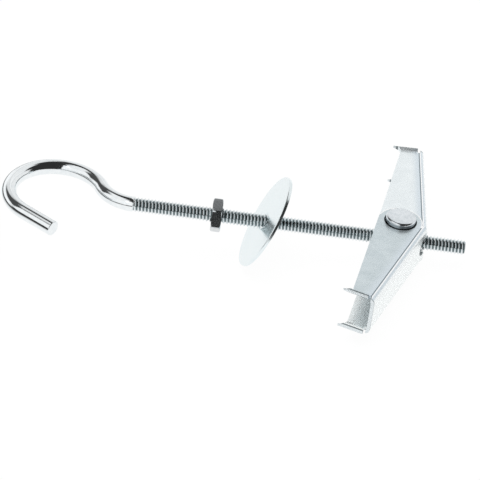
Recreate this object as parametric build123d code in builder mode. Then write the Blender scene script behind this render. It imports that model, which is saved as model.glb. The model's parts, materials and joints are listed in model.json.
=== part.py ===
"""A spring toggle bolt: a hook bent from one length of screw-threaded wire, with a hex nut,
a wide washer and a pair of sprung wings that pivot on a threaded trunnion.

Each piece is modelled in the bolt's own frame: X runs along the screw towards its tail, Z is the
wings' pivot axis and the origin is where the two cross. The finished pieces are then laid
together as they rest on a table: on the washer's rim, the trunnion's lower end and one wing tip.
"""

import os
from math import acos, atan, cos, degrees, hypot, radians, sin, tan

from build123d import *

# Screw and hook
screw_diameter = 4.826
screw_tail = 21.0
screw_length = 103.0
tail_chamfer = 0.5
neck_bend_radius = 11.8
neck_bend_angle = 64.5
hook_radius = 14.75
hook_sweep = 209.5
hook_tip_length = 11.8
hook_tip_chamfer = 0.25

# Hex nut
nut_across_flats = 9.525
nut_thickness = 3.18
nut_from_pivot = 56.2
nut_turn = 13.4
nut_chamfer_angle = 30.0
thread_clearance = 0.05

# Washer
washer_diameter = 30.5
washer_thickness = 1.0
washer_hole = 5.85
washer_from_pivot = 41.1
washer_edge_chamfer = 0.12
washer_screw_clearance = 0.05

# Wings: two like pressings of sheet, each a channel with one ear outside the other wing's
sheet = 1.0
wing_length = 42.9
wing_half_height = 6.84
bend_radius = 1.68
flange_tip_inset = 1.3
ear_radius = 6.85
ear_web_gap = 0.75
ear_hole_clearance = 0.4
ear_gap = 0.12
web_end_gap = 0.3
screw_notch_clearance = 0.15
near_wing_lean = 20.4
far_wing_lean = 2.1

# Flared lips with a spur at each wing tip
lip_length = 1.6
lip_hollow = 0.8
lip_angle = 62.0
lip_straight = 0.6
spur_length = 2.4
spur_point = 0.35
corner_relief = 0.9

# Trunnion
trunnion_diameter = 9.4
trunnion_half_length = 8.68
trunnion_edge_chamfer = 0.6
shoulder_overlap = 0.2
shoulder_gap = 0.12

# Torsion springs round the trunnion, one above the screw and one below
spring_wire = 0.5
spring_wire_sides = 6
spring_turns = 2
spring_turn_gap = 0.06
spring_coil_gap = 0.15
spring_screw_gap = 0.1
spring_leg = 15.0
spring_web_gap = 0.05

# Sizes that follow from those above
screw_radius = screw_diameter / 2
bore_diameter = screw_diameter + 2 * thread_clearance
wing_height = 2 * wing_half_height - sheet - ear_gap
wing_shift = (sheet + ear_gap) / 2
web_inside = ear_radius + ear_web_gap
web_from_pivot = web_inside + sheet
screw_notch_radius = screw_radius + wing_shift + screw_notch_clearance
opening_lean = (near_wing_lean + far_wing_lean) / 2
web_start = web_end_gap / 2 - web_inside * tan(radians(opening_lean))
lip_start = wing_length - lip_length
bend_start = web_from_pivot - bend_radius
ear_hole = trunnion_diameter + 2 * ear_hole_clearance
shoulder_diameter = ear_hole + 2 * shoulder_overlap
shoulder_half_length = wing_half_height - 2 * sheet - ear_gap - shoulder_gap
washer_lean = degrees(
    acos((screw_diameter + 2 * washer_screw_clearance) / hypot(washer_hole, washer_thickness))
    - atan(washer_thickness / washer_hole)
)

# Hook bolt: one straight length, a neck bend off the axis and an open ring back across it
neck_start = screw_tail - screw_length
neck_turn = radians(neck_bend_angle)
neck_centre = Vector(neck_start, neck_bend_radius)
neck_end = neck_centre + Vector(-sin(neck_turn), -cos(neck_turn)) * neck_bend_radius
hook_centre = neck_end + Vector(-sin(neck_turn), -cos(neck_turn)) * hook_radius

with BuildPart() as hook_bolt:
    with BuildLine(Plane.XY) as wire_path:
        Line((screw_tail, 0), (neck_start, 0))
        CenterArc(neck_centre, neck_bend_radius, -90, -neck_bend_angle)
        hook_arc = CenterArc(hook_centre, hook_radius, 90 - neck_bend_angle, hook_sweep)
        Line(hook_arc @ 1, hook_arc @ 1 + (hook_arc % 1) * hook_tip_length)
    with BuildSketch(Plane.YZ.offset(screw_tail)):
        Circle(screw_radius)
    sweep(path=wire_path.wire())
    end_faces = hook_bolt.faces().filter_by(GeomType.PLANE)
    tail_face = end_faces.sort_by(Axis.X)[-1]
    tip_face = end_faces.sort_by(Axis.X)[0]
    chamfer(tail_face.edges(), tail_chamfer)
    chamfer(tip_face.edges(), hook_tip_chamfer)

# Hex nut: cut from bar, with both faces turned to a chamfer
nut_face_radius = nut_across_flats / 2
nut_corner_radius = nut_face_radius / cos(radians(30))
nut_chamfer_depth = (nut_corner_radius - nut_face_radius) * tan(radians(nut_chamfer_angle))

with BuildPart() as hex_nut:
    with BuildSketch(Plane.YZ.offset(-nut_from_pivot - nut_thickness / 2)):
        RegularPolygon(nut_corner_radius, 6, rotation=nut_turn)
        Circle(bore_diameter / 2, mode=Mode.SUBTRACT)
    extrude(amount=nut_thickness)
    with BuildSketch(Plane.XZ):
        with BuildLine():
            Polyline(
                (-nut_from_pivot - nut_thickness / 2, 0),
                (-nut_from_pivot - nut_thickness / 2, nut_face_radius),
                (-nut_from_pivot - nut_thickness / 2 + nut_chamfer_depth, nut_corner_radius),
                (-nut_from_pivot + nut_thickness / 2 - nut_chamfer_depth, nut_corner_radius),
                (-nut_from_pivot + nut_thickness / 2, nut_face_radius),
                (-nut_from_pivot + nut_thickness / 2, 0),
                close=True,
            )
        make_face()
    revolve(axis=Axis.X, mode=Mode.INTERSECT)

# Washer: leaning as far as its hole lets it on the screw, top towards the tail
lean = radians(washer_lean)
washer_axis = Vector(cos(lean), 0, -sin(lean))
washer_centre = Vector(-washer_from_pivot, 0, 0)
washer_plane = Plane(origin=washer_centre, x_dir=(0, -1, 0), z_dir=washer_axis)

with BuildPart() as washer:
    with BuildSketch(washer_plane):
        Circle(washer_diameter / 2)
        Circle(washer_hole / 2, mode=Mode.SUBTRACT)
    extrude(amount=washer_thickness / 2, both=True)
    rim_edges = washer.edges().filter_by(GeomType.CIRCLE).group_by(SortBy.RADIUS)[-1]
    chamfer(rim_edges, washer_edge_chamfer)

# Trunnion: a turned pin with a wider middle between the ears, threaded across for the screw
with BuildPart() as trunnion_nut:
    with BuildSketch(Plane.XZ):
        Rectangle(trunnion_diameter / 2, 2 * trunnion_half_length, align=(Align.MIN, Align.CENTER))
        Rectangle(shoulder_diameter / 2, 2 * shoulder_half_length, align=(Align.MIN, Align.CENTER))
    revolve(axis=Axis.Z)
    chamfer(trunnion_nut.faces().sort_by(Axis.Z)[0].edges(), trunnion_edge_chamfer)
    chamfer(trunnion_nut.faces().sort_by(Axis.Z)[-1].edges(), trunnion_edge_chamfer)
    with BuildSketch(Plane.YZ):
        Circle(bore_diameter / 2)
    extrude(amount=shoulder_diameter, both=True, mode=Mode.SUBTRACT)

# Wing, along X from the pivot with its web on the +Y side: a channel pressed from sheet
mid_height = (wing_height - sheet) / 2
mid_web = web_from_pivot - sheet / 2
flange_slope = atan((flange_tip_inset + ear_radius) / wing_length)
lip_base_inset = flange_tip_inset - lip_length * tan(flange_slope)
lip_face = wing_height / 2
lip_end = bend_start - corner_relief / 2
lip_turn = radians(lip_angle)

with BuildPart() as wing:
    with BuildSketch(Plane.YZ.offset(-ear_radius)):
        with BuildLine():
            FilletPolyline(
                (-ear_radius, -mid_height),
                (mid_web, -mid_height),
                (mid_web, mid_height),
                (-ear_radius, mid_height),
                radius=bend_radius - sheet / 2,
            )
        trace(line_width=sheet)
    extrude(amount=ear_radius + wing_length)
    # Outline of the pressing: round ears, a straight taper to the tip and a square web end
    with BuildSketch(Plane.XY):
        with BuildLine():
            CenterArc((0, 0), ear_radius, 0, 360)
            Line((wing_length, flange_tip_inset), (wing_length, web_from_pivot))
        make_hull()
        with Locations((web_start, flange_tip_inset)):
            Rectangle(
                wing_length - web_start,
                web_from_pivot - flange_tip_inset,
                align=(Align.MIN, Align.MIN),
            )
    extrude(amount=wing_height, both=True, mode=Mode.INTERSECT)
    # Ear holes for the trunnion, and the notch that lets the screw past the web
    with BuildSketch(Plane.XY):
        Circle(ear_hole / 2)
    extrude(amount=wing_height, both=True, mode=Mode.SUBTRACT)
    with BuildSketch(Plane.XZ.offset(-web_inside + sheet)):
        Circle(screw_notch_radius)
        Rectangle(-2 * web_start, 2 * screw_notch_radius, align=(Align.MAX, Align.CENTER))
    extrude(amount=-3 * sheet, mode=Mode.SUBTRACT)
    # Room at the tip for the lips, with a relief beside each bend
    with BuildSketch(Plane.XY):
        with Locations((lip_start, lip_end + corner_relief)):
            Rectangle(2 * lip_length, web_from_pivot + ear_radius, align=(Align.MIN, Align.MAX))
    extrude(amount=wing_height, both=True, mode=Mode.SUBTRACT)
    # Lips: the end of each flange flared outwards, drawn out to a spur at the free edge
    lip_centre = Vector(lip_start, lip_face + lip_hollow)
    lip_along = Vector(cos(lip_turn), sin(lip_turn)) * lip_straight
    with BuildSketch(Plane.XZ.offset(-lip_base_inset + spur_length)):
        with BuildLine():
            hollow = CenterArc(lip_centre, lip_hollow, -90, lip_angle)
            back = CenterArc(lip_centre, lip_hollow + sheet, -90, lip_angle)
            Polyline(hollow @ 1, hollow @ 1 + lip_along, back @ 1 + lip_along, back @ 1)
            Line(hollow @ 0, back @ 0)
        make_face()
        mirror(about=Plane.XZ)
    extrude(amount=-(spur_length - lip_base_inset + lip_end))
    # Each spur comes to a point along a hollow quarter ellipse
    lip_reach = (lip_hollow + sheet) * sin(lip_turn) + lip_straight * cos(lip_turn)
    with BuildSketch(Plane.XY) as spur_hollow:
        with Locations((lip_start, lip_base_inset - spur_length)):
            Ellipse(lip_reach - spur_point, spur_length)
            Rectangle(lip_reach, 2 * spur_length, align=(Align.MIN, Align.CENTER), mode=Mode.INTERSECT)
    extrude(amount=wing_height, both=True, mode=Mode.SUBTRACT)

with BuildPart() as near_wing:
    add(wing.part.moved(Location((0, 0, wing_shift), (0, 0, -90 - near_wing_lean))))

with BuildPart() as far_wing:
    add(wing.part.moved(Location((0, 0, -wing_shift), (0, 0, 90 + far_wing_lean)) * Rotation(180, 0, 0)))

# Torsion springs: turns round the trunnion's shoulder, with a leg along each wing's web. Each
# half turn is a tilted arc, and the wire has a few flat sides, to keep a small hidden piece light
spring_pitch = spring_wire + spring_turn_gap
coil_radius = shoulder_diameter / 2 + spring_coil_gap + spring_wire / 2
half_turn_rise = spring_pitch / 2
half_turn_radius = hypot(coil_radius, half_turn_rise / 2)
leg_inset = web_inside - spring_web_gap - spring_wire / 2
leg_reach = hypot(spring_leg, leg_inset)
leg_tangent = acos(coil_radius / leg_reach)
leg_bearing = atan(leg_inset / spring_leg)
leg_length = leg_reach * sin(leg_tangent)
coil_from = radians(-90 - near_wing_lean) + leg_bearing + leg_tangent
coil_to = radians(90 + far_wing_lean) - leg_bearing - leg_tangent
coil_rest = degrees(coil_to - coil_from) % 360
coil_low = screw_radius + spring_screw_gap + spring_wire / 2

with BuildPart() as upper_spring:
    with BuildLine() as spring_path:
        Line((coil_radius, -leg_length), (coil_radius, 0))
        for half_turn in range(2 * spring_turns):
            middle = Vector(0, 0, (half_turn + 0.5) * half_turn_rise)
            outwards = Vector(coil_radius * (-1) ** half_turn, 0, -half_turn_rise / 2)
            with BuildLine(Plane(origin=middle, x_dir=outwards, z_dir=outwards.cross(Vector(0, 1, 0)))):
                CenterArc((0, 0), half_turn_radius, 0, 180 * (-1) ** half_turn)
        with BuildLine(Plane.XY.offset(2 * spring_turns * half_turn_rise)):
            rest_arc = CenterArc((0, 0), coil_radius, 0, coil_rest)
            Line(rest_arc @ 1, rest_arc @ 1 + (rest_arc % 1) * leg_length)
    spring_wire_line = spring_path.wire().rotate(Axis.Z, degrees(coil_from))
    spring_wire_line = spring_wire_line.moved(Location((0, 0, coil_low)))
    with BuildSketch(Plane(origin=spring_wire_line @ 0, z_dir=spring_wire_line % 0)):
        RegularPolygon(spring_wire / 2, spring_wire_sides)
    sweep(path=spring_wire_line)

with BuildPart() as lower_spring:
    add(upper_spring.part.mirror(Plane.XY))

# Lying pose: on the washer's rim, the trunnion's lower end and the far wing's lower lip
lip_contact_reach = lip_start + lip_hollow * sin(lip_turn) + lip_straight * cos(lip_turn)
lip_contact_depth = lip_face + lip_hollow * (1 - cos(lip_turn)) + lip_straight * sin(lip_turn)
far_contact = Vector(lip_contact_reach, -lip_end).rotate(Axis.Z, 90 + far_wing_lean)
far_contact += Vector(0, 0, -wing_shift - lip_contact_depth)


def lowest_rim_point(rim_centre, axis, radius, up):
    """Lowest point of a round rim whose axis is given."""
    downhill = (axis * up.dot(axis) - up).normalized()
    return rim_centre + downhill * radius


floor_up = Vector(sin(lean), 0, cos(lean))
for settling in range(10):
    washer_contact = lowest_rim_point(
        washer_centre + washer_axis * (washer_thickness / 2 - washer_edge_chamfer),
        washer_axis,
        washer_diameter / 2,
        floor_up,
    )
    trunnion_contact = lowest_rim_point(
        Vector(0, 0, -trunnion_half_length),
        Vector(0, 0, -1),
        trunnion_diameter / 2 - trunnion_edge_chamfer,
        floor_up,
    )
    floor_up = (trunnion_contact - washer_contact).cross(far_contact - washer_contact).normalized()
screw_over_floor = Vector(1, 0, 0) - floor_up * floor_up.X
floor = Plane(origin=washer_contact, x_dir=screw_over_floor, z_dir=floor_up)

pieces = {
    "hook_bolt": hook_bolt,
    "hex_nut": hex_nut,
    "washer": washer,
    "trunnion_nut": trunnion_nut,
    "near_wing": near_wing,
    "far_wing": far_wing,
    "upper_spring": upper_spring,
    "lower_spring": lower_spring,
}
laid = {name: piece.part.moved(floor.location.inverse()) for name, piece in pieces.items()}
boxes = [piece.bounding_box() for piece in laid.values()]
middle_x = (min(box.min.X for box in boxes) + max(box.max.X for box in boxes)) / 2
middle_y = (min(box.min.Y for box in boxes) + max(box.max.Y for box in boxes)) / 2
bottom_z = min(box.min.Z for box in boxes)

os.makedirs("parts", exist_ok=True)
for name, piece in laid.items():
    piece = piece.moved(Location((-middle_x, -middle_y, -bottom_z)))
    piece.label = name
    export_step(piece, f"parts/{name}.step")
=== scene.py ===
import json
from math import cos, pi, radians, sin

import bpy
from mathutils import Matrix, Vector

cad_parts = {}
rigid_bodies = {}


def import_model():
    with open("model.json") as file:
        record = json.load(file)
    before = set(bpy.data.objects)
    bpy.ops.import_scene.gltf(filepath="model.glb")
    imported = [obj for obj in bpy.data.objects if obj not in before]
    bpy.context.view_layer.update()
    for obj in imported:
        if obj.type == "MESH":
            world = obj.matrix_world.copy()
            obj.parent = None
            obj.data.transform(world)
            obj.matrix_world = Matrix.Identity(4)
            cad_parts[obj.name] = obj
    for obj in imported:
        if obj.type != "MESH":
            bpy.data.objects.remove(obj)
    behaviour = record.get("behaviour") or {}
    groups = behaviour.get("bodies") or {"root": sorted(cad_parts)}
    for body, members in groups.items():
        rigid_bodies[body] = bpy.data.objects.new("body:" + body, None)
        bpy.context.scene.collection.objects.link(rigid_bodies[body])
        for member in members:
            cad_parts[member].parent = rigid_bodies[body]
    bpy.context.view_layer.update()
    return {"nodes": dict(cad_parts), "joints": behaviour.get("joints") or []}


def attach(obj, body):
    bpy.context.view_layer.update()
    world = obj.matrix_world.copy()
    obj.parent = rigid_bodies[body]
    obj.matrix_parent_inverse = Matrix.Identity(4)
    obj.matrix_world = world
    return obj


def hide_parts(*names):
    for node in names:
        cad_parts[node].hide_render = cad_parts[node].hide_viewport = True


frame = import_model()

# Hook bolt: one length of drawn steel wire, thread-rolled for most of its length and bent at the
# other end into a neck and an open ring, then barrel-plated in bright zinc
wire_radius = 2.365
crest_radius = 2.413
root_radius = 1.80
thread_pitch = 1.0583
thread_start = -82.3
run_out = 0.4 * thread_pitch
screw_tail = 21.0
tail_chamfer = 0.55
tail_chamfer_slope = 1.15
neck_start = -82.0
neck_bend_radius = 11.8
neck_bend_angle = 64.5
ring_radius = 14.75
ring_sweep = 209.5
hook_tip_length = 11.8
tip_edge = 0.28

# Each new piece is drawn in millimetres about the point where the wings' pin crosses the screw:
# local Z runs along the screw to its tail, local Y across it, and the pin lies along local -X.
# It is then laid on the table, as the frame's joints say that the screw and the pin lie
mm = 0.001
joints = {joint["name"]: joint for joint in frame["joints"]}
pivot = Vector(joints["far_wing_fold"]["pos_m"])
pin_line = Vector(joints["far_wing_fold"]["axis"]).normalized()
screw_line = Vector(joints["toggle_run"]["axis"]).normalized()
across_line = pin_line.cross(screw_line)
on_table = Matrix.Translation(pivot) @ Matrix((screw_line, across_line, pin_line)).transposed().to_4x4()
on_table = on_table @ Matrix.Scale(mm, 4) @ Matrix.Rotation(radians(90), 4, "Y")


def draw(name, outline, closed=False):
    """A thin line through (radius, height) points, on the local XZ plane."""
    bpy.ops.object.select_all(action="DESELECT")
    bpy.ops.mesh.primitive_plane_add(size=1, location=(outline[0][0], 0, outline[0][1]))
    piece = bpy.context.object
    piece.name = name
    bpy.ops.object.transform_apply(location=True)
    bpy.context.tool_settings.mesh_select_mode = (True, False, False)
    bpy.ops.object.mode_set(mode="EDIT")
    bpy.ops.mesh.select_all(action="SELECT")
    bpy.ops.mesh.merge(type="CENTER")
    for before, after in zip(outline, outline[1:]):
        step = (after[0] - before[0], 0, after[1] - before[1])
        bpy.ops.mesh.extrude_vertices_move(TRANSFORM_OT_translate={"value": step})
    if closed:
        bpy.ops.mesh.select_all(action="SELECT")
        bpy.ops.mesh.edge_face_add()
        bpy.ops.mesh.delete(type="ONLY_FACE")
    bpy.ops.object.mode_set(mode="OBJECT")
    return piece


def take(piece):
    """Leaves edit mode with only this piece selected and active."""
    if bpy.context.mode != "OBJECT":
        bpy.ops.object.mode_set(mode="OBJECT")
    bpy.ops.object.select_all(action="DESELECT")
    piece.select_set(True)
    bpy.context.view_layer.objects.active = piece


def select_in(piece, kind, wanted):
    """Opens the piece for editing with only the wanted vertices, edges or polygons selected."""
    take(piece)
    kinds = ("vertices", "edges", "polygons")
    for each in kinds:
        elements = getattr(piece.data, each)
        elements.foreach_set("select", [False] * len(elements))
    for element in getattr(piece.data, kind):
        element.select = wanted(element)
    bpy.context.tool_settings.mesh_select_mode = [each == kind for each in kinds]
    bpy.ops.object.mode_set(mode="EDIT")


def select_whole(piece):
    """Opens the piece for editing with all of it selected."""
    select_in(piece, "polygons", lambda face: True)
    bpy.ops.mesh.select_all(action="SELECT")


def face_outwards(piece):
    """Merges doubled points and turns every face outwards."""
    select_whole(piece)
    bpy.ops.mesh.remove_doubles(threshold=0.0005)
    bpy.ops.mesh.normals_make_consistent(inside=False)
    bpy.ops.object.mode_set(mode="OBJECT")


def turn(piece, steps, rise=0.0, turns=1):
    """Turns a drawn line about local Z, as a lathe does, or as a screw where it rises."""
    screw = piece.modifiers.new("turned", "SCREW")
    screw.axis = "Z"
    screw.screw_offset = rise
    screw.iterations = turns
    screw.steps = screw.render_steps = steps
    screw.use_merge_vertices = True
    screw.merge_threshold = 0.0005
    bpy.context.view_layer.objects.active = piece
    bpy.ops.object.modifier_apply(modifier=screw.name)
    face_outwards(piece)
    return piece


def work(piece, tool, operation):
    """Cuts the piece with a closed tool, or keeps only what lies inside it."""
    cut = piece.modifiers.new("cut", "BOOLEAN")
    cut.operation = operation
    cut.object = tool
    cut.solver = "EXACT"
    bpy.context.view_layer.objects.active = piece
    bpy.ops.object.modifier_apply(modifier=cut.name)
    bpy.data.objects.remove(tool)


def smooth(piece, angle):
    """Smooths the round faces of the active piece and keeps its flat ones flat."""
    bpy.ops.object.shade_smooth_by_angle(angle=radians(angle))
    flat = piece.modifiers.new("flat_faces", "WEIGHTED_NORMAL")
    flat.keep_sharp = True
    bpy.ops.object.modifier_apply(modifier=flat.name)


def lay(piece, place=on_table, angle=35):
    """Lays a drawn piece on the table and smooths its round faces."""
    take(piece)
    piece.matrix_world = place
    bpy.ops.object.transform_apply(location=True, rotation=True, scale=True)
    smooth(piece, angle)


# One pitch of the rolled thread from root to root, repeated along the screw. A point is a share of
# the thread's depth and a share of its pitch, and the second flank mirrors the first
thread_depth = crest_radius - root_radius
first_flank = [(0.0, 0.0), (0.03, 0.055), (0.18, 0.125), (0.86, 0.405), (0.97, 0.455), (1.0, 0.5)]
second_flank = [(depth, 1 - along) for depth, along in reversed(first_flank[:-1])]
spare_turns = 5
turns_of_thread = int((screw_tail - thread_start) / thread_pitch) + spare_turns
thread_from = thread_start - spare_turns / 2 * thread_pitch
hook_bolt = draw("rolled_thread", [
    (root_radius + depth * thread_depth, thread_from + along * thread_pitch)
    for depth, along in first_flank + second_flank
])
turn(hook_bolt, 24, rise=thread_pitch, turns=turns_of_thread)
# The grooves run out to the bare wire where the neck begins
for point in hook_bolt.data.vertices:
    bareness = min(1.0, 1 - (point.co.z - thread_start) / run_out)
    if bareness > 0:
        radius = point.co.xy.length
        point.co.xy *= (radius + (wire_radius - radius) * bareness) / radius
past_tail = 0.4
for cut_at, outwards in ((thread_start, -1), (screw_tail + past_tail, 1)):
    select_whole(hook_bolt)
    bpy.ops.mesh.bisect(
        plane_co=(0, 0, cut_at), plane_no=(0, 0, outwards), use_fill=True, clear_outer=True
    )
face_outwards(hook_bolt)
blank_radius = crest_radius + 0.02
blank_from = thread_start - 5
blank = draw("turned_blank", [
    (0.0, blank_from),
    (blank_radius, blank_from),
    (blank_radius, screw_tail - tail_chamfer),
    (blank_radius - tail_chamfer * tail_chamfer_slope, screw_tail),
    (0.0, screw_tail),
])
turn(blank, 48)
work(hook_bolt, blank, "INTERSECT")

# Neck and ring: a round section swept along two bends and a straight tip, from just behind the
# thread's end
neck_turn = radians(neck_bend_angle)
neck_centre = Vector((0, neck_bend_radius, neck_start))
neck_end = neck_centre - neck_bend_radius * Vector((0, cos(neck_turn), sin(neck_turn)))
ring_centre = neck_end - ring_radius * Vector((0, cos(neck_turn), sin(neck_turn)))
wire_start = thread_start - 0.02
bpy.ops.object.select_all(action="DESELECT")
bpy.ops.mesh.primitive_circle_add(vertices=48, radius=wire_radius, location=(0, 0, wire_start))
wire = bpy.context.object
wire.name = "bent_wire"
bpy.ops.object.transform_apply(location=True)
bpy.context.tool_settings.mesh_select_mode = (False, True, False)
bpy.ops.object.mode_set(mode="EDIT")
bpy.ops.mesh.select_all(action="SELECT")
bent_already = (neck_start - thread_start) / neck_bend_radius
bpy.ops.mesh.spin(steps=28, angle=bent_already - neck_turn, center=neck_centre, axis=(1, 0, 0))
bpy.ops.mesh.spin(steps=96, angle=radians(ring_sweep), center=ring_centre, axis=(1, 0, 0))
tip_bearing = neck_turn - radians(ring_sweep)
tip_line = Vector((0, sin(tip_bearing), -cos(tip_bearing)))
bpy.ops.mesh.extrude_region_move(TRANSFORM_OT_translate={"value": hook_tip_length * tip_line})
bpy.ops.mesh.edge_face_add()
bpy.ops.object.mode_set(mode="OBJECT")
face_outwards(wire)
tip_face = max(wire.data.polygons, key=lambda face: len(face.vertices)).index
select_in(wire, "polygons", lambda face: face.index == tip_face)
bpy.ops.mesh.region_to_loop()
bpy.ops.mesh.bevel(offset=tip_edge, segments=3)
bpy.ops.object.mode_set(mode="OBJECT")


def closes_thread(face):
    """Whether a face closes the thread's end towards the neck."""
    return face.normal.z < -0.99 and face.center.z < thread_start + 0.01


# The two lengths are one wire: the thread's neck end is opened and bridged to the bend
select_in(hook_bolt, "polygons", closes_thread)
bpy.ops.mesh.delete(type="ONLY_FACE")
take(hook_bolt)
wire.select_set(True)
bpy.ops.object.join()
hook_bolt.name = "hook_bolt_wire"
bpy.ops.object.mode_set(mode="EDIT")
bpy.context.tool_settings.mesh_select_mode = (False, True, False)
bpy.ops.mesh.select_all(action="DESELECT")
bpy.ops.mesh.select_non_manifold(
    extend=False, use_wire=False, use_multi_face=False, use_non_contiguous=False, use_verts=False
)
bpy.ops.mesh.bridge_edge_loops()
bpy.ops.object.mode_set(mode="OBJECT")
face_outwards(hook_bolt)
lay(hook_bolt, angle=45)


class Paint:
    """A shader socket that sums, differences, products and sizes can be written with."""

    def __init__(self, maker, socket):
        self.maker = maker
        self.socket = socket

    def reckon(self, operation, *terms):
        return self.maker.node("ShaderNodeMath", {"operation": operation}, dict(enumerate(terms)))

    def __add__(self, other):
        return self.reckon("ADD", self, other)

    def __radd__(self, other):
        return self.reckon("ADD", other, self)

    def __sub__(self, other):
        return self.reckon("SUBTRACT", self, other)

    def __rsub__(self, other):
        return self.reckon("SUBTRACT", other, self)

    def __mul__(self, other):
        return self.reckon("MULTIPLY", self, other)

    def __rmul__(self, other):
        return self.reckon("MULTIPLY", other, self)

    def __abs__(self):
        return self.reckon("ABSOLUTE", self)


class Finish:
    """A material, or the world's light, and the nodes that paint it."""

    def __init__(self, name, owner=None):
        self.owner = owner or bpy.data.materials.new(name)
        self.owner.use_nodes = True
        self.tree = self.owner.node_tree
        self.tree.nodes.clear()

    def node(self, kind, settings=None, inputs=None, output=0):
        """Adds a node, with its settings first and then its sockets, and returns one output."""
        made = self.tree.nodes.new(kind)
        for setting, value in (settings or {}).items():
            setattr(made, setting, value)
        for name, value in (inputs or {}).items():
            if isinstance(value, Paint):
                self.tree.links.new(value.socket, made.inputs[name])
            else:
                made.inputs[name].default_value = value
        return Paint(self, made.outputs[output])

    def outputs(self, kind, names, inputs=None):
        """Adds a node and returns each of the outputs that are named."""
        made = self.node(kind, None, inputs).socket.node
        return [Paint(self, made.outputs[name]) for name in names]

    def place(self):
        """The piece's own coordinates, in metres."""
        return self.node("ShaderNodeTexCoord", output="Object")

    def vector(self, operation, *terms, output=0):
        """Vector maths, whose output 1 is the number of a length or a dot product."""
        return self.node("ShaderNodeVectorMath", {"operation": operation}, dict(enumerate(terms)), output)

    def along(self, where, line):
        """How far a place lies from the pivot, measured along a line."""
        return self.vector("DOT_PRODUCT", self.vector("SUBTRACT", where, pivot), line, output=1)

    def away(self, where, line):
        """How far a place lies from a line through the pivot."""
        product = self.vector("CROSS_PRODUCT", self.vector("SUBTRACT", where, pivot), line)
        return self.vector("LENGTH", product, output=1)

    def noise(self, where, per_metre, detail=2.0, roughness=0.5):
        """Soft random specks."""
        return self.node("ShaderNodeTexNoise", None, {
            "Vector": where, "Scale": per_metre, "Detail": detail, "Roughness": roughness,
        })

    def between(self, value, low, high, low_out=0.0, high_out=1.0):
        """Eases from one value to another as the input passes from low to high."""
        return self.node("ShaderNodeMapRange", {"interpolation_type": "SMOOTHSTEP"}, {
            "Value": value, "From Min": low, "From Max": high, "To Min": low_out, "To Max": high_out,
        })

    def shade(self, share, first, second):
        """A colour between two others."""
        return self.node("ShaderNodeMix", {"data_type": "RGBA"}, {0: share, 6: first, 7: second}, output=2)

    def surface(self, shader, kind="ShaderNodeOutputMaterial"):
        """Gives the finished shader to the material or to the world."""
        out = self.tree.nodes.new(kind)
        self.tree.links.new(shader.socket, out.inputs["Surface"])


def zinc_plate(name, light, dark, gloss, grain, grain_height, mottle=900.0, metallic=1.0, marks=None):
    """Bright zinc plate: a bluish metal whose crystals make it fine-grained and a little uneven.

    The marks are rows of low, high, measure and colour, each a painted light or shade laid over the plate:
    the colour shows fully where the measure is under low, and not at all where it is over high."""
    finish = Finish(name)
    where = finish.place()
    cloud = finish.noise(where, mottle * 0.12, 3.0)
    speck = finish.noise(where, mottle, 3.0, 0.6)
    colour = finish.shade(finish.between(0.3 * cloud + 0.7 * speck, 0.35, 0.65), (*dark, 1), (*light, 1))
    for low, high, measure, mark in marks(finish, where) if marks else ():
        colour = finish.shade(finish.between(measure, low, high), (*mark, 1), colour)
    rough = finish.between(speck, 0.3, 0.7, gloss * 0.85, gloss * 1.2)
    relief = finish.node("ShaderNodeBump", None, {
        "Strength": 1.0, "Distance": grain_height, "Height": finish.noise(where, grain, 2.0, 0.55),
    })
    finish.surface(finish.node("ShaderNodeBsdfPrincipled", None, {
        "Base Color": colour, "Metallic": metallic, "Roughness": rough, "Normal": relief,
    }))
    return finish.owner


def plate(piece, zinc):
    """Gives the whole piece one finish."""
    piece.data.materials.clear()
    piece.data.materials.append(zinc)


def groove_shade_marks(finish, where):
    """Painted shade: the rolled grooves are darkened towards their root, while the crests and the bare
    neck keep the plate's colour.
    """
    groove_painted_shade = (0.22, 0.27, 0.28)
    along = finish.along(where, screw_line)
    bare_wire = finish.between(along, thread_start * mm, (thread_start + 0.3) * mm, 1.0, 0.0)
    radius = finish.away(where, screw_line)
    return [(root_radius * mm, 0.94 * crest_radius * mm, radius + bare_wire, groove_painted_shade)]


wire_zinc = zinc_plate(
    "wire_zinc", light=(0.92, 0.95, 0.96), dark=(0.84, 0.88, 0.90), gloss=0.08,
    grain=2600.0, grain_height=0.000007, marks=groove_shade_marks,
)
plate(hook_bolt, wire_zinc)
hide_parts("hook_bolt")
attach(hook_bolt, "bolt")

# Hex nut: cold-formed steel with its corners turned to a chamfer on both faces, bored and
# countersunk for the screw, and run along it by hand behind the washer
nut_across_flats = 9.525
nut_thickness = 3.18
nut_from_pivot = 56.2
nut_turn = 13.4
nut_countersink = 2.75
nut_chamfer_slope = 0.62
nut_corner_round = 0.35
nut_edge = 0.07
running_clearance = 0.05
skim = 0.001
tool_reach = 0.4

flat_radius = nut_across_flats / 2
corner_radius = flat_radius / cos(radians(30))
bpy.ops.object.select_all(action="DESELECT")
bpy.ops.mesh.primitive_cylinder_add(
    vertices=6, radius=corner_radius, depth=nut_thickness, location=(0, 0, -nut_from_pivot)
)
nut = bpy.context.object
nut.name = "nut_body"
bpy.ops.object.transform_apply(location=True)
nut.matrix_world = Matrix.Rotation(radians(nut_turn), 4, "Z")
bpy.ops.object.transform_apply(rotation=True)


def is_corner(edge):
    """Whether an edge of the nut's body is one of the six along the screw."""
    ends = [nut.data.vertices[index].co for index in edge.vertices]
    return abs(ends[0].z - ends[1].z) > nut_thickness / 2


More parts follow.
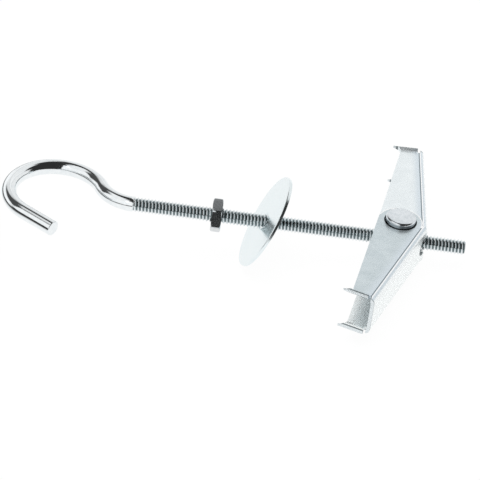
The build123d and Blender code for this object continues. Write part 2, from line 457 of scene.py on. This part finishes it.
select_in(nut, "edges", is_corner)
bpy.ops.mesh.bevel(offset=nut_corner_round, segments=4)
bpy.ops.object.mode_set(mode="OBJECT")
nut_low = -nut_from_pivot - nut_thickness / 2
nut_high = -nut_from_pivot + nut_thickness / 2
chamfer_run = (corner_radius - flat_radius) * nut_chamfer_slope
envelope = draw("nut_turning", [
    (0.0, nut_low - skim),
    (flat_radius - 0.02, nut_low - skim),
    (corner_radius + 0.02, nut_low + chamfer_run),
    (corner_radius + 0.02, nut_high - chamfer_run),
    (flat_radius - 0.02, nut_high + skim),
    (0.0, nut_high + skim),
])
work(nut, turn(envelope, 96), "INTERSECT")
bore_radius = crest_radius + running_clearance
drill = draw("nut_drill", [
    (0.0, nut_low - tool_reach),
    (nut_countersink + tool_reach, nut_low - tool_reach),
    (bore_radius, nut_low + nut_countersink - bore_radius),
    (bore_radius, nut_high - nut_countersink + bore_radius),
    (nut_countersink + tool_reach, nut_high + tool_reach),
    (0.0, nut_high + tool_reach),
])
work(nut, turn(drill, 48), "DIFFERENCE")


def break_edges(piece, width, segments=2, angle=30):
    """Rounds every edge sharper than the angle, as tumbling and plating do."""
    bevel = piece.modifiers.new("edges", "BEVEL")
    bevel.width = width
    bevel.segments = segments
    bevel.limit_method = "ANGLE"
    bevel.angle_limit = radians(angle)
    bpy.context.view_layer.objects.active = piece
    bpy.ops.object.modifier_apply(modifier=bevel.name)


break_edges(nut, nut_edge)
face_outwards(nut)
lay(nut)
nut_zinc = zinc_plate(
    "nut_zinc", light=(0.68, 0.71, 0.73), dark=(0.52, 0.55, 0.57), gloss=0.10,
    grain=3200.0, grain_height=0.000004, mottle=1800.0,
)
plate(nut, nut_zinc)
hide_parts("hex_nut")
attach(nut, "nut")

# Washer: a wide disc punched from sheet steel and zinc-plated, one rim edge rolled over by the
# punch and the other sheared; it is loose on the screw and leans, its lower rim on the table
washer_diameter = 30.5
washer_thickness = 1.0
washer_hole = 5.85
washer_from_pivot = 41.1
washer_lean = 24.2

hole_radius = washer_hole / 2
rim_radius = washer_diameter / 2
rolled_face = -washer_thickness / 2
sheared_face = washer_thickness / 2
disc = draw("washer_disc", [
    (hole_radius, rolled_face + 0.06),
    (hole_radius + 0.06, rolled_face),
    (rim_radius - 0.30, rolled_face),
    (rim_radius - 0.10, rolled_face + 0.04),
    (rim_radius - 0.02, rolled_face + 0.14),
    (rim_radius, rolled_face + 0.28),
    (rim_radius, sheared_face - 0.03),
    (rim_radius - 0.03, sheared_face),
    (hole_radius + 0.25, sheared_face),
    (hole_radius + 0.10, sheared_face - 0.03),
    (hole_radius + 0.02, sheared_face - 0.12),
    (hole_radius, sheared_face - 0.25),
], closed=True)
turn(disc, 128)
leaning = Matrix.Translation((0, 0, -washer_from_pivot)) @ Matrix.Rotation(radians(washer_lean), 4, "Y")
lay(disc, on_table @ leaning)
washer_zinc = zinc_plate(
    "washer_zinc", light=(0.87, 0.935, 0.95), dark=(0.83, 0.905, 0.925), gloss=0.20,
    grain=900.0, grain_height=0.000001, mottle=300.0,
)
plate(disc, washer_zinc)
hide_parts("washer")
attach(disc, "washer")

# Trunnion: a steel pin turned with a wider middle that lies between the wings' ears, bored across
# for the screw, and plated
trunnion_radius = 4.7
trunnion_half_length = 8.68
shoulder_radius = 5.3
shoulder_half_length = 4.6
shoulder_edge = 0.08
cross_drill_reach = 8.0

half_pin = [
    (0.0, trunnion_half_length),
    (trunnion_radius - 0.75, trunnion_half_length),
    (trunnion_radius - 0.42, trunnion_half_length - 0.07),
    (trunnion_radius - 0.16, trunnion_half_length - 0.26),
    (trunnion_radius - 0.04, trunnion_half_length - 0.50),
    (trunnion_radius, trunnion_half_length - 0.80),
    (trunnion_radius, shoulder_half_length),
    (shoulder_radius - shoulder_edge, shoulder_half_length),
    (shoulder_radius, shoulder_half_length - shoulder_edge),
]
pin = draw("trunnion_pin", half_pin + [(radius, -height) for radius, height in reversed(half_pin)])
turn(pin, 96)
pin.matrix_world = Matrix.Rotation(radians(90), 4, "Y")
take(pin)
bpy.ops.object.transform_apply(rotation=True)
cross_drill = draw("cross_drill", [
    (0.0, -cross_drill_reach),
    (bore_radius, -cross_drill_reach),
    (bore_radius, cross_drill_reach),
    (0.0, cross_drill_reach),
])
work(pin, turn(cross_drill, 48), "DIFFERENCE")
face_outwards(pin)
lay(pin, angle=40)


def flank_reflection_marks(finish, where):
    """Painted reflection: the pin's round flanks are painted dark, and its ends keep the plate's colour.
    """
    flank_painted_reflection = (0.08, 0.09, 0.10)
    inwards = (trunnion_radius + 0.06) * mm - finish.away(where, pin_line)
    return [(0.03 * mm, 0.10 * mm, inwards, flank_painted_reflection)]


pin_zinc = zinc_plate(
    "pin_zinc", light=(0.82, 0.86, 0.89), dark=(0.66, 0.71, 0.74), gloss=0.17,
    grain=2200.0, grain_height=0.000006, marks=flank_reflection_marks,
)
plate(pin, pin_zinc)
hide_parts("trunnion_nut")
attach(pin, "toggle")

# Wings: two like channels pressed from sheet steel, with an ear on each side of the pin and flared
# lips at the tip; tumbled and barrel-plated, so the flat faces are satin and no edge is sharp
web_from_pivot = 8.6
wing_bend = 1.68
ear_radius = 6.85
lip_start = 42.8
wing_height = 12.56
ear_overlap = 1.12
wing_edge = 0.2
# The two wings are alike: the near wing's darker colours and the far wing's lighter ones are painted light
# and shade
wings = {
    "near_wing": {
        "lean": -110.4, "side": -1,
        "light": (0.67, 0.74, 0.765), "dark": (0.53, 0.60, 0.63), "metallic": 0.80,
    },
    "far_wing": {
        "lean": 92.1, "side": 1,
        "light": (0.85, 0.895, 0.91), "dark": (0.75, 0.80, 0.82), "metallic": 0.74,
    },
}
# Painted light and shade for the wings' faces: each colour below stands in for light or shade falling on
# the wing
fold_painted_shade = (0.66, 0.73, 0.78)
fold_painted_dark_line = (0.18, 0.22, 0.24)
fold_painted_highlight = (0.99, 0.99, 0.99)
web_painted_light = (0.91, 0.94, 0.945)
ear_rim_painted_highlight = (0.99, 0.99, 0.99)
channel_painted_light = (0.95, 0.985, 0.985)
lower_corner_painted_shade = (0.42, 0.47, 0.49)
lip_painted_shade = (0.74, 0.79, 0.81)
lip_bend_painted_shade = (0.16, 0.19, 0.20)


def recast(part, name, edge=0.0, angle=30):
    """A copy of a drawn solid as one clean skin, with its sharp edges rounded if asked."""
    piece = part.copy()
    piece.data = part.data.copy()
    piece.name = name
    bpy.context.scene.collection.objects.link(piece)
    take(piece)
    bpy.ops.object.parent_clear(type="CLEAR_KEEP_TRANSFORM")
    bpy.ops.object.transform_apply(location=True, rotation=True, scale=True)
    select_whole(piece)
    bpy.ops.mesh.remove_doubles(threshold=0.000002)
    bpy.ops.mesh.normals_make_consistent(inside=False)
    bpy.ops.mesh.dissolve_limited(angle_limit=radians(0.4))
    bpy.ops.object.mode_set(mode="OBJECT")
    if edge:
        break_edges(piece, edge * mm, 3, angle)
    smooth(piece, 40)
    return piece


def wing_light_and_shade(side, web_facing):
    """Painted light and shade on a wing: a painted dark line and a painted highlight where the
    flange starts to bend, in a faint band of painted shade; painted light on the outer web, the
    channel and the rim of the ear's round end; painted shade on the lower corner, the flared lips and the
    bend at their root."""
    lower_edge = -side * ear_overlap / 2 - wing_height / 2
    fold = web_from_pivot - wing_bend

    def marks(finish, where):
        webwards = finish.along(where, web_facing)
        tipwards = finish.along(where, -side * web_facing.cross(pin_line))
        upwards = finish.along(where, pin_line)
        from_rim = abs(finish.away(where, pin_line) - ear_radius * mm) + finish.between(tipwards, 0.0, mm)
        return [
            (0.2 * mm, 3.2 * mm, abs(webwards - (fold + 0.2) * mm), fold_painted_shade),
            (0.08 * mm, 0.24 * mm, abs(webwards - fold * mm), fold_painted_dark_line),
            (0.08 * mm, 0.22 * mm, abs(webwards - (fold + 0.4) * mm), fold_painted_highlight),
            (-0.2 * mm, 0.2 * mm, (web_from_pivot - 0.45) * mm - webwards, web_painted_light),
            (0.2 * mm, 0.4 * mm, from_rim, ear_rim_painted_highlight),
            (3.0 * mm, 4.5 * mm, upwards, channel_painted_light),
            (0.1 * mm, 0.5 * mm, upwards - lower_edge * mm, lower_corner_painted_shade),
            (0.0, 0.1 * mm, lip_start * mm - tipwards, lip_painted_shade),
            (0.07 * mm, 0.19 * mm, abs(tipwards - (lip_start - 0.2) * mm), lip_bend_painted_shade),
        ]
    return marks


for wing, its in wings.items():
    lean = radians(its["lean"])
    web_facing = its["side"] * (sin(lean) * screw_line - cos(lean) * across_line)
    wing_zinc = zinc_plate(
        wing + "_zinc", light=its["light"], dark=its["dark"], gloss=0.30, grain=2400.0,
        grain_height=0.000005, mottle=2200.0, metallic=its["metallic"],
        marks=wing_light_and_shade(its["side"], web_facing),
    )
    channel = recast(frame["nodes"][wing], "pressed_" + wing, wing_edge, 38)
    plate(channel, wing_zinc)
    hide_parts(wing)
    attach(channel, wing)

# Springs: hard-drawn wire coiled round the pin's shoulder, one above the screw and one below, with
# a leg along each wing that presses it open; a leg is parted from its coil, to turn with its wing
coil_outside = 6.05
spring_zinc = zinc_plate(
    "spring_zinc", light=(0.70, 0.71, 0.73), dark=(0.60, 0.61, 0.64), gloss=0.25,
    grain=2400.0, grain_height=0.00002,
)


def dress_spring(piece, spring, body):
    """Closes the cut ends of a length of spring wire and hands it to the frame."""
    select_whole(piece)
    bpy.ops.mesh.fill_holes(sides=0)
    bpy.ops.mesh.normals_make_consistent(inside=False)
    bpy.ops.object.mode_set(mode="OBJECT")
    smooth(piece, 50)
    plate(piece, spring_zinc)
    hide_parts(spring)
    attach(piece, body)


def in_leg(face, side):
    """Whether a face of a spring's wire is off the coil, towards one of the wings."""
    from_pivot = face.center - pivot
    off_coil = from_pivot.cross(pin_line).length > coil_outside * mm
    return off_coil and from_pivot.dot(across_line) * side > 0


for spring in ("upper_spring", "lower_spring"):
    coil = recast(frame["nodes"][spring], "coiled_" + spring)
    for wing, its in wings.items():
        select_in(coil, "polygons", lambda face: in_leg(face, its["side"]))
        bpy.ops.mesh.separate(type="SELECTED")
        bpy.ops.object.mode_set(mode="OBJECT")
        leg = next(piece for piece in bpy.context.selected_objects if piece != coil)
        leg.name = spring + "_leg_in_" + wing
        dress_spring(leg, spring, wing)
    dress_spring(coil, spring, "toggle")

# Table: a wide white sheet that keeps a soft shadow. In the metal's reflections it is white beyond
# the part and to the right, and fades to dark towards the viewer and the left
table_radius = 4.0
table_gap = 0.05 * mm
bpy.ops.object.select_all(action="DESELECT")
bpy.ops.mesh.primitive_circle_add(
    vertices=96, radius=table_radius, fill_type="NGON", location=(0, 0, -table_gap)
)
table = bpy.context.object
table.name = "white_table"
table_white = Finish("table_white")
camera_ray, mirror_ray = table_white.outputs("ShaderNodeLightPath", ("Is Camera Ray", "Is Glossy Ray"))
spot_x, spot_y = table_white.outputs("ShaderNodeSeparateXYZ", ("X", "Y"), {0: table_white.place()})
mirrored_white = (
    table_white.between(spot_y, -0.32, -0.07, 0.04, 0.97)
    * table_white.between(spot_x, -0.17, -0.088, 0.08, 1.0)
)
paper = table_white.node("ShaderNodeBsdfDiffuse", None, {"Color": (0.93, 0.93, 0.935, 1)})
glow = table_white.node("ShaderNodeEmission", None, {
    "Color": camera_ray + mirror_ray * mirrored_white, "Strength": 1.0,
})
table_white.surface(table_white.node("ShaderNodeMixShader", None, {
    0: camera_ray * 0.97 + mirror_ray, 1: paper, 2: glow,
}))
table.data.materials.append(table_white.owner)

# Light: the metal mirrors a bright backdrop, low from the left round to the right, with lit areas
# above it to the right, and a large soft light high at the left and behind the viewer. The rest of
# the room is dark, and the camera sees only white. An unmirrored lamp overhead casts the shadow
world = bpy.data.worlds.new("studio")
bpy.context.scene.world = world
studio = Finish("studio", world)
compass = studio.node("ShaderNodeTexCoord", output="Generated")
east, north, above = studio.outputs("ShaderNodeSeparateXYZ", ("X", "Y", "Z"), {0: compass})
bearing = east.reckon("ARCTAN2", east, north) * (180 / pi)
height = above.reckon("ARCSINE", above) * (180 / pi)


def panel(left, right, low, high, soft, level):
    """A lit or dark area of the room, with soft edges, by bearing and height in degrees."""
    across = (
        studio.between(bearing, left - soft, left + soft)
        * studio.between(bearing, right - soft, right + soft, 1.0, 0.0)
    )
    upright = (
        studio.between(height, low - soft, low + soft)
        * studio.between(height, high - soft, high + soft, 1.0, 0.0)
    )
    return across * upright * level


darkness = 0.03
backdrop = panel(-84, -18, -25, 26, 5, 1.0) + panel(-18, 92, -25, 28, 6, 0.85)
above_backdrop = (
    panel(-84, -30, 26, 60, 5, 0.04)
    + panel(-30, 4, 26, 46, 6, 0.75)
    + panel(4, 70, 28, 58, 4, 0.85)
)
soft_light = (
    panel(-165, -92, 48, 84, 6, 0.90)
    + panel(-92, -30, 60, 84, 5, 0.90)
    + panel(-160, -92, 13, 48, 4, 0.95)
    + panel(-160, -125, 3, 13, 4, 0.86)
    + panel(-92, -84, 2, 26, 4, 0.75)
    + panel(-190, -160, 6, 66, 5, 1.0)
)
room = darkness + backdrop + above_backdrop + soft_light
[seen] = studio.outputs("ShaderNodeLightPath", ("Is Camera Ray",))
studio.surface(
    studio.node("ShaderNodeBackground", None, {"Color": room * (1 - seen) + seen, "Strength": 1.0}),
    "ShaderNodeOutputWorld",
)

bpy.ops.object.light_add(type="AREA", location=(0.0, 0.0, 1.6))
overhead = bpy.context.object
overhead.name = "overhead_box"
overhead.data.shape = "DISK"
overhead.data.size = 1.8
overhead.data.energy = 34
overhead.visible_glossy = False

# Viewpoint: a long lens held almost level, well above the table and in front of the screw
bpy.ops.object.select_all(action="DESELECT")
bpy.ops.object.camera_add(
    location=(0.045464, -0.652253, 0.479491),
    rotation=(radians(54.0726), radians(-0.3267), radians(4.0477)),
)
camera = bpy.context.object
camera.name = "long_lens"
camera.data.lens = 195
camera.data.sensor_width = 36
camera.data.clip_start = 0.01
camera.data.clip_end = 60
bpy.context.scene.camera = camera

bpy.context.scene.view_settings.view_transform = "Standard"
